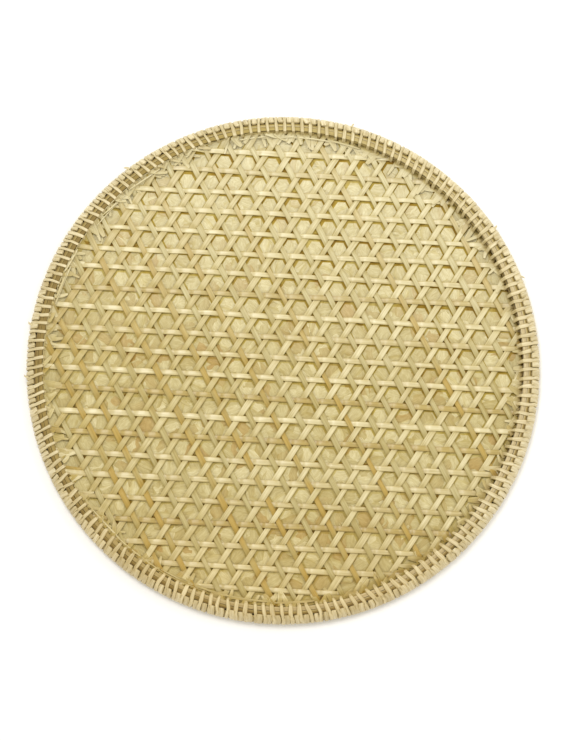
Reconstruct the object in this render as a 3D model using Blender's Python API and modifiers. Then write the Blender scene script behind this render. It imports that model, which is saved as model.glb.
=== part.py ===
"""Round bamboo placemat with a low raised rim.

An open hexagonal weave of flat strips lies over a layer of thin bamboo shavings. Three hoops edge it: a
split bamboo outside, rounded on its outer side, and two flat strips inside it. The inner hoop presses on
the ends of the weave's strips, and lengths of cane are wound round all three hoops.

The mat lies flat, with its underside at z = 0 and its middle on the z axis. Sizes are in metres.
"""

import math

import bmesh
import bpy

# Driving sizes
MAT_RADIUS = 0.190
GAP = 0.0003
RIM_SEGMENTS = 58

# Hexagonal weave: three directions of strips, 60 degrees apart
STRIP_PITCH = 0.0155
STRIP_WIDTH = 0.0041
WEAVE_TURN = math.radians(-3)
WEAVE_SHIFT = (0.0012, -0.0025)
WEAVE_THICKNESS = 0.0015
MAX_HEXAGONS = 300
WEAVE_EDGE_WIDTH = 0.0012

# Strip ends that run out between the lashing's wraps and under the inner hoop
STRIP_END_WIDTH = 0.0028
SPACES_PER_STRIP_END = 3

# Shavings layer under the weave
SHAVINGS_BOTTOM = 0.0012
SHAVINGS_THICKNESS = 0.0012
SHAVINGS_INSET = 0.0001
SHAVINGS_SEGMENTS = 72

# Cane lashing. The last lower run of a length stops short of the next length, at a share of the way. The
# first inner foot is a share of a wrap's pitch past the x axis, so that a lower run's middle lies on that
# axis.
CANE_WIDTH = 0.0026
CANE_THICKNESS = 0.0009
LASHING_LENGTHS = 6
WRAPS_PER_LENGTH = 29
LAST_RUN_SHARE = 0.75
FIRST_FOOT = 0.25

# The lashing's outer side, as one wrap follows it round the rim. The inset is measured inwards from the
# mat's edge, and the advance is the share of a wrap's pitch that the cane moves along the rim on its way to
# the corner.
# corner, inset, height, advance
LASHING_PATH = (
    ("inner foot", 0.0150, 0.0000, 0.5),
    ("inner shoulder", 0.0146, 0.0126, 0.0),
    ("outer shoulder", 0.0034, 0.0096, 0.5),
    ("outer bulge", 0.0000, 0.0042, 0.0),
    ("outer foot", 0.0016, 0.0000, 0.0),
)

# Flat hoops and the outer hoop's flat side, as insets from the mat's edge
OUTER_HOOP_BACK = 0.0053
MIDDLE_HOOP_FRONT = 0.0063
MIDDLE_HOOP_BACK = 0.0096
INNER_HOOP_FRONT = 0.0099
INNER_HOOP_BACK = 0.0131

# Worked out from the sizes above
WRAP_COUNT = LASHING_LENGTHS * WRAPS_PER_LENGTH
WRAP_ANGLE = 2 * math.pi / WRAP_COUNT
LATTICE_STEP = 2 * STRIP_PITCH / math.sqrt(3)
HEXAGON_RADIUS = (STRIP_PITCH - STRIP_WIDTH) / math.sqrt(3)
WEAVE_BOTTOM = SHAVINGS_BOTTOM + SHAVINGS_THICKNESS + GAP
WEAVE_TOP = WEAVE_BOTTOM + WEAVE_THICKNESS
WEAVE_RADIUS = MAT_RADIUS - LASHING_PATH[0][1] - GAP
SHAVINGS_RADIUS = WEAVE_RADIUS - SHAVINGS_INSET
RIM_SAG = 1 - math.cos(math.pi / RIM_SEGMENTS)
STRIP_END_RADIUS = (MAT_RADIUS - MIDDLE_HOOP_BACK) * (1 - RIM_SAG) - GAP


def clear_scene():
    """Removes every object of the open scene."""
    for obj in list(bpy.data.objects):
        bpy.data.objects.remove(obj, do_unlink=True)


def make_material(name, color, roughness):
    """A plain material with the part's colour."""
    material = bpy.data.materials.new(name)
    material.use_nodes = True
    shader = material.node_tree.nodes["Principled BSDF"]
    shader.inputs["Base Color"].default_value = (*color, 1.0)
    shader.inputs["Roughness"].default_value = roughness
    shader.inputs["Metallic"].default_value = 0.0
    return material


def add_object(name, data, collection, material):
    """Links an object with this data and material to the collection."""
    obj = bpy.data.objects.new(name, data)
    collection.objects.link(obj)
    obj.data.materials.append(material)
    return obj


def offset_path(distance):
    """The corners of the lashing's path moved into the rim by a distance, as (radius, height) pairs.

    Each side of the closed path moves along its inward normal, and each new corner is where two moved sides
    meet.
    """
    corners = [(MAT_RADIUS - inset, height) for _, inset, height, _ in LASHING_PATH]
    sides = []
    for (r0, z0), (r1, z1) in zip(corners, corners[1:] + corners[:1]):
        length = math.hypot(r1 - r0, z1 - z0)
        along = ((r1 - r0) / length, (z1 - z0) / length)
        inward = (along[1], -along[0])
        sides.append((r0 + inward[0] * distance, z0 + inward[1] * distance, *along))
    moved = []
    for before, after in zip(sides[-1:] + sides[:-1], sides):
        cross = before[2] * after[3] - before[3] * after[2]
        reach = ((after[0] - before[0]) * after[3] - (after[1] - before[1]) * after[2]) / cross
        moved.append((before[0] + before[2] * reach, before[1] + before[3] * reach))
    return moved


def height_on_top(radius, inner, outer):
    """Height at a radius of the straight line from the inner shoulder to the outer shoulder."""
    share = (radius - inner[0]) / (outer[0] - inner[0])
    return inner[1] + share * (outer[1] - inner[1])


def hexagon(center):
    """The six corners of one gap in the weave, whose sides run along the three strip directions."""
    corners = []
    for number in range(6):
        angle = WEAVE_TURN + number * math.pi / 3
        x = center[0] + HEXAGON_RADIUS * math.cos(angle)
        y = center[1] + HEXAGON_RADIUS * math.sin(angle)
        corners.append((x, y))
    return corners


def hexagon_centers():
    """Middles of the whole hexagons inside the rim, nearest the mat's middle first."""
    reach = WEAVE_RADIUS * (1 - RIM_SAG) - WEAVE_EDGE_WIDTH - HEXAGON_RADIUS
    rows = math.ceil(2 * reach / STRIP_PITCH)
    along = (math.cos(WEAVE_TURN), math.sin(WEAVE_TURN))
    across = (math.cos(WEAVE_TURN + math.pi / 3), math.sin(WEAVE_TURN + math.pi / 3))
    centers = []
    for i in range(-rows, rows + 1):
        for j in range(-rows, rows + 1):
            x = WEAVE_SHIFT[0] + LATTICE_STEP * (i * along[0] + j * across[0])
            y = WEAVE_SHIFT[1] + LATTICE_STEP * (i * along[1] + j * across[1])
            if math.hypot(x, y) <= reach:
                centers.append((x, y))
    centers.sort(key=lambda center: (round(math.hypot(*center), 6), center))
    return centers[:MAX_HEXAGONS]


def weave_outline():
    """The weave's round edge, with a strip end standing out in every third space between wraps."""
    points = []
    root_turn = math.asin(STRIP_END_WIDTH / 2 / WEAVE_RADIUS)
    end_turn = math.asin(STRIP_END_WIDTH / 2 / STRIP_END_RADIUS)
    for number in range(WRAP_COUNT // SPACES_PER_STRIP_END):
        middle = (SPACES_PER_STRIP_END * number + FIRST_FOOT + 0.5) * WRAP_ANGLE
        for radius, turn in (
            (WEAVE_RADIUS, -root_turn),
            (STRIP_END_RADIUS, -end_turn),
            (STRIP_END_RADIUS, end_turn),
            (WEAVE_RADIUS, root_turn),
        ):
            points.append((radius * math.cos(middle + turn), radius * math.sin(middle + turn)))
    return points


def make_weave(collection, material):
    """The net of strips: a flat outline with a hexagon cut out at each gap."""
    curve = bpy.data.curves.new("weave", "CURVE")
    curve.dimensions = "2D"
    curve.fill_mode = "BOTH"
    curve.extrude = WEAVE_THICKNESS / 2
    for outline in [weave_outline()] + [hexagon(center) for center in hexagon_centers()]:
        spline = curve.splines.new("POLY")
        spline.points.add(len(outline) - 1)
        for point, (x, y) in zip(spline.points, outline):
            point.co = (x, y, 0, 1)
        spline.use_cyclic_u = True
    weave = add_object("weave", curve, collection, material)
    weave.location.z = WEAVE_BOTTOM + WEAVE_THICKNESS / 2
    return weave


def make_shavings(collection, material):
    """The shavings layer, a flat disc inside the lashing."""
    mesh = bpy.data.meshes.new("shavings")
    shape = bmesh.new()
    bmesh.ops.create_cone(
        shape,
        cap_ends=True,
        segments=SHAVINGS_SEGMENTS,
        radius1=SHAVINGS_RADIUS,
        radius2=SHAVINGS_RADIUS,
        depth=SHAVINGS_THICKNESS,
    )
    shape.to_mesh(mesh)
    shape.free()
    shavings = add_object("shavings", mesh, collection, material)
    shavings.location.z = SHAVINGS_BOTTOM + SHAVINGS_THICKNESS / 2
    return shavings


def make_hoop(name, profile, collection, material):
    """A hoop turned from its closed profile, whose points run down its outer side first."""
    mesh = bpy.data.meshes.new(name)
    edges = [(number, (number + 1) % len(profile)) for number in range(len(profile))]
    mesh.from_pydata([(radius, 0, height) for radius, height in profile], edges, [])
    hoop = add_object(name, mesh, collection, material)
    screw = hoop.modifiers.new("Screw", "SCREW")
    screw.axis = "Z"
    screw.steps = RIM_SEGMENTS
    screw.render_steps = RIM_SEGMENTS
    screw.use_merge_vertices = True
    screw.merge_threshold = 0.00001
    screw.use_smooth_shade = True
    return hoop


def make_hoops(collection, outer_material, flat_material):
    """The three hoops. Their tops and the outer hoop's round side keep a gap to the lashing."""
    inner_foot, inner_shoulder, outer_shoulder, outer_bulge, outer_foot = offset_path(CANE_THICKNESS + GAP)

    def top(radius):
        return height_on_top(radius, inner_shoulder, outer_shoulder)

    back = MAT_RADIUS - OUTER_HOOP_BACK
    outer_profile = [outer_shoulder, outer_bulge, outer_foot, (back, outer_foot[1]), (back, top(back))]
    make_hoop("hoop_outer", outer_profile, collection, outer_material)
    flat_hoops = (
        ("hoop_middle", MIDDLE_HOOP_FRONT, MIDDLE_HOOP_BACK, inner_foot[1]),
        ("hoop_inner", INNER_HOOP_FRONT, INNER_HOOP_BACK, WEAVE_TOP + GAP),
    )
    for name, front_inset, back_inset, bottom in flat_hoops:
        front = MAT_RADIUS - front_inset
        back = MAT_RADIUS - back_inset
        profile = [(front, top(front)), (front, bottom), (back, bottom), (back, top(back))]
        make_hoop(name, profile, collection, flat_material)


def cane_section(flat, ridge, angle):
    """Three corners of the cane at a turn: two on its flat side, and the ridge towards the rim."""
    out = (math.cos(angle), math.sin(angle))
    side = (-math.sin(angle) * CANE_WIDTH / 2, math.cos(angle) * CANE_WIDTH / 2)
    return [
        (flat[0] * out[0] - side[0], flat[0] * out[1] - side[1], flat[1]),
        (ridge[0] * out[0], ridge[0] * out[1], ridge[1]),
        (flat[0] * out[0] + side[0], flat[0] * out[1] + side[1], flat[1]),
    ]


def between(start, end, share):
    """The point at a share of the way from start to end."""
    return tuple(a + (b - a) * share for a, b in zip(start, end))


def lashing_sections(number):
    """Sections of one length of cane, from its first inner foot to a share of its last lower run."""
    flats = offset_path(0)
    ridges = offset_path(CANE_THICKNESS)
    turn = (number * WRAPS_PER_LENGTH + FIRST_FOOT) * WRAP_ANGLE
    sections = []
    for wrap in range(WRAPS_PER_LENGTH):
        for corner, (_, _, _, advance) in enumerate(LASHING_PATH):
            if corner:
                turn += advance * WRAP_ANGLE
            sections.append(cane_section(flats[corner], ridges[corner], turn))
        last_turn = turn
        turn += LASHING_PATH[0][3] * WRAP_ANGLE
    end_flat = between(flats[-1], flats[0], LAST_RUN_SHARE)
    end_ridge = between(ridges[-1], ridges[0], LAST_RUN_SHARE)
    end_turn = last_turn + LAST_RUN_SHARE * LASHING_PATH[0][3] * WRAP_ANGLE
    sections.append(cane_section(end_flat, end_ridge, end_turn))
    return sections


def make_lashing(number, collection, material):
    """One length of cane, a loft through its sections with a flat cap at each end."""
    name = f"lashing_{number + 1}"
    shape = bmesh.new()
    rings = [[shape.verts.new(point) for point in section] for section in lashing_sections(number)]
    for ring, following in zip(rings, rings[1:]):
        for side in range(3):
            other = (side + 1) % 3
            shape.faces.new((ring[side], ring[other], following[other], following[side]))
    shape.faces.new(reversed(rings[0]))
    shape.faces.new(rings[-1])
    bmesh.ops.recalc_face_normals(shape, faces=shape.faces)
    mesh = bpy.data.meshes.new(name)
    shape.to_mesh(mesh)
    shape.free()
    return add_object(name, mesh, collection, material)


def main():
    clear_scene()
    collection = bpy.data.collections.new("bamboo_placemat")
    bpy.context.scene.collection.children.link(collection)
    strip = make_material("woven_strip", (0.62, 0.47, 0.27), 0.55)
    shaving = make_material("shaving", (0.50, 0.33, 0.17), 0.7)
    split_bamboo = make_material("split_bamboo", (0.58, 0.44, 0.26), 0.5)
    flat_bamboo = make_material("flat_bamboo", (0.40, 0.24, 0.14), 0.55)
    cane = make_material("cane", (0.68, 0.57, 0.38), 0.5)
    make_weave(collection, strip)
    make_shavings(collection, shaving)
    make_hoops(collection, split_bamboo, flat_bamboo)
    for number in range(LASHING_LENGTHS):
        make_lashing(number, collection, cane)


main()
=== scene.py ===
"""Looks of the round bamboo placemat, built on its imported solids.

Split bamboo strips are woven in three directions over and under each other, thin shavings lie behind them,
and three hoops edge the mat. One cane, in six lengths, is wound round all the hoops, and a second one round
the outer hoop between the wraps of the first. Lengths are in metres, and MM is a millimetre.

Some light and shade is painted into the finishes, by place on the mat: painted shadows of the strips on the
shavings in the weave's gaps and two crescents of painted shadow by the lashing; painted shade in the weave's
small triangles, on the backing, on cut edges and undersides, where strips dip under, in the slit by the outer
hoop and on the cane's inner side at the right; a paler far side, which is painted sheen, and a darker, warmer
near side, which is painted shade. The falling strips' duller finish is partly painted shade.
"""

import math

import bpy
import numpy as np
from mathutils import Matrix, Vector


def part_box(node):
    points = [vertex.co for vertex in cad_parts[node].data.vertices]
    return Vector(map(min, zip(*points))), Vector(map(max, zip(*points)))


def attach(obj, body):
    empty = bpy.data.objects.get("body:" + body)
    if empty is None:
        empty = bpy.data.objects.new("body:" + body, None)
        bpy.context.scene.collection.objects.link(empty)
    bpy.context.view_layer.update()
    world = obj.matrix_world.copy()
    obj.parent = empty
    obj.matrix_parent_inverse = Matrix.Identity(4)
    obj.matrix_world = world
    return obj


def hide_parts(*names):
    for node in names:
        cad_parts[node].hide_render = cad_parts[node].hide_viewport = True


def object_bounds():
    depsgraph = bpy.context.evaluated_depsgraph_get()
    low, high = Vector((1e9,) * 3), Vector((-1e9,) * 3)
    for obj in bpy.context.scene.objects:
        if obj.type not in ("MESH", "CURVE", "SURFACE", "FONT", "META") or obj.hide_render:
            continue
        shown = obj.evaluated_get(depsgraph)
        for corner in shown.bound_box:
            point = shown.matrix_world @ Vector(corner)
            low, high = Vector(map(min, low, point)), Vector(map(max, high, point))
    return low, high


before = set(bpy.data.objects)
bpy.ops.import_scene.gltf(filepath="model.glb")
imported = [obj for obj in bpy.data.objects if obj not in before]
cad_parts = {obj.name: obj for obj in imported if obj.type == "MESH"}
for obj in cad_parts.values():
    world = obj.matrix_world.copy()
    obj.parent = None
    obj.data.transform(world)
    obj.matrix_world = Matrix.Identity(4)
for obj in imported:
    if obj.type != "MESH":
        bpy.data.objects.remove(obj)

MM = 0.001
CAD_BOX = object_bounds()
LOW, HIGH = (np.array(corner) for corner in CAD_BOX)
MAT_RADIUS = float(HIGH[0] - LOW[0]) / 2
WEAVE_LEVEL = float(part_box("weave")[0][2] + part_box("weave")[1][2]) / 2 - 0.03 * MM
SHAVINGS_BOTTOM = float(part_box("shavings")[0][2])

# Weave: lines of three families of strips, those across, those rising to the right and the falling ones, in
# which order the widths and thicknesses are given
STRIP_PITCH = 15.5 * MM
STRIP_WIDTHS = (3.65 * MM, 4.2 * MM, 3.8 * MM)
STRIP_THICKNESS = (0.6 * MM, 0.45 * MM, 0.45 * MM)
STRIP_RISE = 0.5 * MM
STRIP_REACH = MAT_RADIUS - 11.5 * MM
STRIP_STEPS = 340
WEAVE_TURN = math.radians(-3)
WEAVE_SHIFT = np.array([1.2, -2.5]) * MM

# Edge of the weave and the shavings, turned up against the inner hoop: its height, where it starts and how
# far outwards it runs
TURN_UP_HEIGHT = 5.6 * MM
TURN_UP_START = MAT_RADIUS - 22 * MM
TURN_UP_RUN = 8.5 * MM

# Middle of the side along which the edge hardly rises and the cane has the most painted shade on its inner
# side
FLAT_SIDE = math.radians(15)

# Rim: corners of the lashing's outer side, as inset from the mat's edge and height. The first inner foot is a
# share of a wrap's pitch past the x axis.
WRAP_COUNT = 174
LASHING_LENGTHS = 6
WRAP_ANGLE = 2 * math.pi / WRAP_COUNT
FIRST_FOOT = 0.25
CANE_WIDTH = 2.7 * MM
CANE_THICKNESS = 0.9 * MM
LASHING_PATH = np.array([[15.0, 0.0], [14.6, 12.6], [3.4, 9.6], [0.0, 4.2], [1.6, 0.0]]) * MM
HOOP_STEPS = 522
# Where the painted shade on the cane's inner side starts
INNER_SHADE_START = MAT_RADIUS - 11.5 * MM

# Profiles, as shares of width and thickness, and how brown each of their points is: painted shade on the
# sides and undersides. The sharp lower corners are the brownest.
STRIP_PROFILE = np.array([
    (-0.48, -0.50, 1.0), (-0.50, 0.10, 0.45), (-0.46, 0.34, 0.05), (-0.22, 0.47, 0.0),
    (0.22, 0.47, 0.0), (0.46, 0.34, 0.05), (0.50, 0.10, 0.45), (0.48, -0.50, 1.0),
])
ROUND_PROFILE = np.array([
    (-0.48, -0.50, 1.0), (-0.50, -0.05, 0.5), (-0.30, 0.33, 0.0), (0.0, 0.50, 0.0),
    (0.30, 0.33, 0.0), (0.50, -0.05, 0.5), (0.48, -0.50, 1.0),
])
SHAVING_PROFILE = np.array([
    (-0.50, -0.50, 0.3), (-0.28, 0.20, 0.0), (0.0, 0.50, 0.0), (0.28, 0.20, 0.0),
    (0.50, -0.50, 0.3), (0.26, -0.10, 0.0), (0.0, 0.15, 0.0), (-0.26, -0.10, 0.0),
])
SLIVER_PROFILE = np.array([
    (-0.50, -0.45, 0.5), (-0.50, 0.42, 0.1), (0.0, 0.50, 0.0), (0.50, 0.42, 0.1), (0.50, -0.45, 0.5),
])
CANE_PROFILE = np.array([
    (-0.50, -0.40, 0.8), (-0.40, 0.25, 0.1), (0.0, 0.50, 0.0), (0.40, 0.25, 0.1), (0.50, -0.40, 0.8),
])

# Edges between faces that meet at more than this angle stay sharp
SHARP_ANGLE = math.radians(32)

# Painted light in the finishes: the pale colour of the painted sheen towards the far side, and the factor of
# the painted shade that darkens and warms the near side
PAINTED_SHEEN_COLOR = (0.78, 0.725, 0.49, 1.0)
NEAR_SHADE_FACTOR = (0.96, 0.915, 0.81, 1.0)

# Crescents of painted shadow by the lashing: centre, start and end of the shadow in millimetres, and its
# factor there
LASHING_SHADOW_CRESCENTS = (((-3.0, 6.0, 0.0), 176.0, 180.0, 0.74), ((-4.0, -3.5, 0.0), 178.0, 180.5, 0.56))

# Lights: name, place, size and power
LIGHTS = (
    ("main_light", (-0.24, 0.40, 1.1), 0.5, 6.1),
    ("side_light", (0.80, 0.42, 0.85), 0.5, 2.7),
)
SKY_COLOR = (1.0, 0.97, 0.9, 1.0)
SKY_STRENGTH = 0.84
FLOOR_COLOR = (0.92, 0.92, 0.92, 1.0)
FLOOR_REACH = 4.0
FLOOR_DROP = 0.2 * MM

RANDOM = np.random.default_rng(38)


# Meshes


def new_piece(name, points, quads, caps, quad_uvs, tones, browns, material):
    """A mesh object from arrays: four-sided faces with a UV for each of their corners, end caps, and for
    each point a tone and how brown it is. All the faces are turned round if the signed volume between the
    origin and the four-sided ones comes out negative. It leaves out the caps, and so has the wrong sign for
    the split ends, which are short, lie far out and narrow towards the middle: their faces point inwards."""
    a, b, c, d = (points[quads[:, corner]] for corner in range(4))
    if (np.cross(a, b) * c).sum() + (np.cross(a, c) * d).sum() < 0:
        quads, quad_uvs, caps = quads[:, ::-1], quad_uvs[:, ::-1], caps[:, ::-1]
    mesh = bpy.data.meshes.new(name)
    mesh.vertices.add(len(points))
    mesh.vertices.foreach_set("co", points.astype(np.float32).ravel())
    mesh.loops.add(quads.size + caps.size)
    mesh.loops.foreach_set("vertex_index", np.concatenate([quads.ravel(), caps.ravel()]).astype(np.int32))
    starts = np.concatenate([np.arange(len(quads)) * 4, quads.size + np.arange(len(caps)) * caps.shape[1]])
    mesh.polygons.add(len(quads) + len(caps))
    mesh.polygons.foreach_set("loop_start", starts.astype(np.int32))
    mesh.update(calc_edges=True)
    uvs = np.concatenate([quad_uvs.reshape(-1, 2), np.zeros((caps.size, 2))])
    mesh.uv_layers.new(name="UVMap").data.foreach_set("uv", uvs.astype(np.float32).ravel())
    for name_of_values, values in (("tone", tones), ("brown", browns)):
        attribute = mesh.attributes.new(name_of_values, "FLOAT", "POINT")
        attribute.data.foreach_set("value", values.astype(np.float32).ravel())
    mesh.shade_smooth()
    mesh.set_sharp_from_angle(angle=SHARP_ANGLE)
    mesh.materials.append(material)
    piece = bpy.data.objects.new(name, mesh)
    bpy.context.scene.collection.objects.link(piece)
    return piece


def tubes(name, points, along, around, tones, material, closed=False, browns=0.0):
    """Many tubes as one piece. points is tube by step by side by xyz, along is the distance down each tube
    at each step, around the distance round it at each side, tones one value a tube and browns one a side.
    Each face joins two neighbouring steps and two neighbouring sides. An open tube gets a flat cap at each
    end, and a closed one joins its last step to its first."""
    count, steps, sides, _ = points.shape
    rows = steps if closed else steps - 1
    tube, step, side = np.meshgrid(np.arange(count), np.arange(rows), np.arange(sides), indexing="ij")
    corners = []
    corner_uvs = []
    for step_on, side_on in ((0, 0), (0, 1), (1, 1), (1, 0)):
        corners.append((tube * steps + (step + step_on) % steps) * sides + (side + side_on) % sides)
        corner_uvs.append(np.stack([along[tube, step + step_on], around[side + side_on]], axis=-1))
    quads = np.stack(corners, axis=-1).reshape(-1, 4)
    quad_uvs = np.stack(corner_uvs, axis=-2).reshape(-1, 4, 2)
    caps = np.zeros((0, sides), int)
    if not closed:
        first = np.arange(count)[:, None] * steps * sides + np.arange(sides)
        caps = np.concatenate([first[:, ::-1], first + (steps - 1) * sides])
    tones = np.repeat(tones, steps * sides)
    browns = np.broadcast_to(browns, (count, steps, sides)).ravel()
    return new_piece(name, points.reshape(-1, 3), quads, caps, quad_uvs, tones, browns, material)


def distance_along(path, closed=False):
    """Distance down each path at each of its steps, from the lengths of the stretches before it."""
    if closed:
        path = np.concatenate([path, path[..., :1, :]], axis=-2)
    stretches = np.linalg.norm(np.diff(path, axis=-2), axis=-1)
    return np.concatenate([np.zeros((*stretches.shape[:-1], 1)), np.cumsum(stretches, axis=-1)], axis=-1)


def ribbons(name, path, side, width, thickness, profile, tones, material, roll=0.0, brown=0.0):
    """Flat strips as one piece: each point is the path, plus the profile's first share of the width along
    the level side direction, plus its second share of the thickness upwards. roll is how much a strip rises
    to that side, and brown is added to how brown the profile's points are."""
    across = profile[:, 0] * width[..., None]
    up = profile[:, 1] * thickness + across * np.asarray(roll)[..., None]
    level = path[:, :, None, :2] + across[..., None] * side[:, :, None, :]
    points = np.concatenate([level, (path[:, :, None, 2] + up)[..., None]], axis=-1)
    around = distance_along(profile[:, :2] * (float(width.mean()), thickness), closed=True)
    browns = (profile[:, 2] + np.asarray(brown)[..., None]).clip(0, 1)
    return tubes(name, points, distance_along(path), around, tones, material, browns=browns)


def wander(count, length, wave, size):
    """A smooth random wander for each of a number of paths, at distances up to a length: random values a
    wave apart, joined by half cosines."""
    knots = int(math.ceil(length / wave)) + 3
    values = RANDOM.normal(0, size, (count, knots))
    row = np.arange(count)[:, None]

    def at(distance):
        place = distance / wave + 1
        before = np.floor(place).astype(int).clip(0, knots - 2)
        share = (1 - np.cos(np.pi * (place - before).clip(0, 1))) / 2
        return values[row, before] * (1 - share) + values[row, before + 1] * share

    return at


# Materials


class Shader:
    """A material's node tree, with short ways to add a node and to join it."""

    def __init__(self, name, roughness):
        self.material = bpy.data.materials.new(name)
        self.material.use_nodes = True
        self.tree = self.material.node_tree
        self.surface = self.tree.nodes["Principled BSDF"]
        self.surface.inputs["Roughness"].default_value = roughness
        self.surface.inputs["Specular IOR Level"].default_value = 0.5

    def add(self, kind, inputs=None, **settings):
        """A node with its settings, whose inputs are joined to sockets or set to values."""
        node = self.tree.nodes.new(kind)
        for name, value in settings.items():
            setattr(node, name, value)
        for name, value in (inputs or {}).items():
            self.feed(node, name, value)
        return node

    def feed(self, node, name, value):
        """Joins a socket to a node's input, or sets the input's value."""
        if isinstance(value, bpy.types.NodeSocket):
            self.tree.links.new(value, node.inputs[name])
        else:
            node.inputs[name].default_value = value

    def math(self, operation, first, second=0.0, clamp=False):
        """A Math node's result."""
        node = self.add("ShaderNodeMath", {0: first, 1: second}, operation=operation, use_clamp=clamp)
        return node.outputs[0]

    def reach(self, vector, direction):
        """How far a vector reaches along a direction: their dot product."""
        node = self.add("ShaderNodeVectorMath", {0: vector, 1: direction}, operation="DOT_PRODUCT")
        return node.outputs["Value"]

    def noise(self, vector, detail):
        """Noise from 0 to 1 at a vector that is already scaled."""
        inputs = {"Vector": vector, "Scale": 1.0, "Detail": detail, "Roughness": 0.55}
        return self.add("ShaderNodeTexNoise", inputs).outputs["Fac"]

    def spread(self, value, low, high, start, end):
        """A value from low to high mapped to start to end, and held there outside."""
        inputs = {"Value": value, "From Min": low, "From Max": high, "To Min": start, "To Max": end}
        return self.add("ShaderNodeMapRange", inputs).outputs[0]

    def ramp(self, value, colors):
        """A colour ramp through evenly spaced linear colours."""
        node = self.add("ShaderNodeValToRGB", {"Fac": value})
        elements = node.color_ramp.elements
        while len(elements) < len(colors):
            elements.new(1.0)
        for number, color in enumerate(colors):
            elements[number].position = number / (len(colors) - 1)
            elements[number].color = (*color, 1.0)
        return node.outputs["Color"]

    def blend(self, kind, factor, first, second):
        """Two colours mixed, multiplied or blended in another way."""
        node = self.add("ShaderNodeMix", data_type="RGBA", blend_type=kind)
        self.feed(node, 0, factor)
        self.feed(node, 6, first)
        self.feed(node, 7, second)
        return node.outputs[2]

    def darken(self, color, factor, green=1.25, blue=1.9):
        """A colour times a factor, which is raised to a higher power in green and blue, so that what it
        darkens turns browner."""
        channels = {0: factor, 1: self.math("POWER", factor, green), 2: self.math("POWER", factor, blue)}
        return self.blend("MULTIPLY", 1.0, color, self.add("ShaderNodeCombineColor", channels).outputs[0])

    def bump(self, height, distance):
        """A bump of the surface by a height from 0 to 1."""
        node = self.add("ShaderNodeBump", {"Height": height, "Distance": distance})
        self.feed(self.surface, "Normal", node.outputs[0])

    def fibre_gloss(self, strength):
        """Gloss that is drawn out across the fibre, as on any fibrous surface."""
        self.surface.inputs["Specular IOR Level"].default_value = strength
        self.surface.inputs["Anisotropic"].default_value = 0.9
        self.surface.inputs["Anisotropic Rotation"].default_value = 0.25
        self.feed(self.surface, "Tangent", self.add("ShaderNodeTangent", direction_type="UV_MAP").outputs[0])

    def fibre_noise(self, tone, length, width, detail):
        """Noise drawn out along the fibre, in the piece's UVs, and moved for each tone so that no two
        strips are alike."""
        shift = self.add("ShaderNodeCombineXYZ", {"X": self.math("MULTIPLY", tone, 91.7), "Z": tone})
        uv = self.add("ShaderNodeUVMap", uv_map="UVMap").outputs["UV"]
        inputs = {"Vector": uv, "Location": shift.outputs[0], "Scale": (1 / length, 1 / width, 1.0)}
        return self.noise(self.add("ShaderNodeMapping", inputs).outputs[0], detail)


def painted_strip_shadows(shader, where, color):
    """Paints the weave's shadow onto the shavings where they look up: a painted shadow in patches beneath and
    just in front of the weave's strips, most of all at the mat's far right, and painted shade in the small
    triangles between three strips. A family's nearest strip is |(f mod 1) - 1/2| pitches away, less half its
    width, where f is the place across that family in pitches. The borders follow the least of the three
    distances, and the triangles lie where even the greatest is small."""
    nearest = None
    furthest = None
    # The painted shadow is moved 1.1 mm towards the near side, where the strips' shadow falls
    shift = WEAVE_SHIFT - np.array([0, 1.1]) * MM
    for family in range(3):
        turn = WEAVE_TURN + family * math.pi / 3
        across = (-math.sin(turn) / STRIP_PITCH, math.cos(turn) / STRIP_PITCH, 0.0)
        place = shader.reach(where, across)
        start = float(shift @ np.array(across[:2]))
        share = shader.math("FRACT", shader.math("SUBTRACT", place, start))
        distance = shader.math("ABSOLUTE", shader.math("SUBTRACT", share, 0.5))
        distance = shader.math("SUBTRACT", distance, STRIP_WIDTHS[family] / 2 / STRIP_PITCH)
        nearest = shader.math("MINIMUM", nearest, distance) if family else distance
        furthest = shader.math("MAXIMUM", furthest, distance) if family else distance
    far = shader.reach(where, (0.45, 1.0, 0.0))
    depth = shader.spread(far, -0.06, 0.10, 0.13, 0.47)
    scaled = shader.add("ShaderNodeVectorMath", {0: where, "Scale": 1 / (12 * MM)}, operation="SCALE")
    patches = shader.spread(shader.noise(scaled.outputs["Vector"], 1.0), 0.38, 0.62, 0.5, 1.15)
    normal = shader.add("ShaderNodeSeparateXYZ", {0: shader.add("ShaderNodeNewGeometry").outputs["Normal"]})
    upper = shader.spread(normal.outputs["Z"], 0.0, 0.2, 0.0, 1.0)
    border = shader.spread(nearest, 0.03, 0.05, 1.0, 0.0)
    amount = shader.math("MULTIPLY", border, shader.math("MULTIPLY", depth, patches))
    # Painted shade in the small triangles between three strips
    triangle = shader.spread(furthest, 0.10, 0.17, 0.55, 0.0)
    amount = shader.math("MAXIMUM", amount, triangle)
    amount = shader.math("MULTIPLY", amount, upper)
    return shader.darken(color, shader.math("SUBTRACT", 1.0, amount), green=1.5, blue=4.6)


def painted_lashing_shadows(shader, where, color):
    """Paints the lashing's shadow onto the mat's edge, in two crescents: a wide, faint one at the near right
    and a narrower, deeper one at the far right. Each starts a distance from a centre of its own, and is
    deepest
    4 mm or 2.5 mm further out."""
    for centre, start, end, depth in LASHING_SHADOW_CRESCENTS:
        inputs = {0: where, 1: [value * MM for value in centre]}
        offset = shader.add("ShaderNodeVectorMath", inputs, operation="SUBTRACT").outputs["Vector"]
        distance = shader.add("ShaderNodeVectorMath", {0: offset}, operation="LENGTH").outputs["Value"]
        shade = shader.spread(distance, start * MM, end * MM, 1.0, depth)
        color = shader.darken(color, shade, green=1.3, blue=2.6)
    return color


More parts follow.
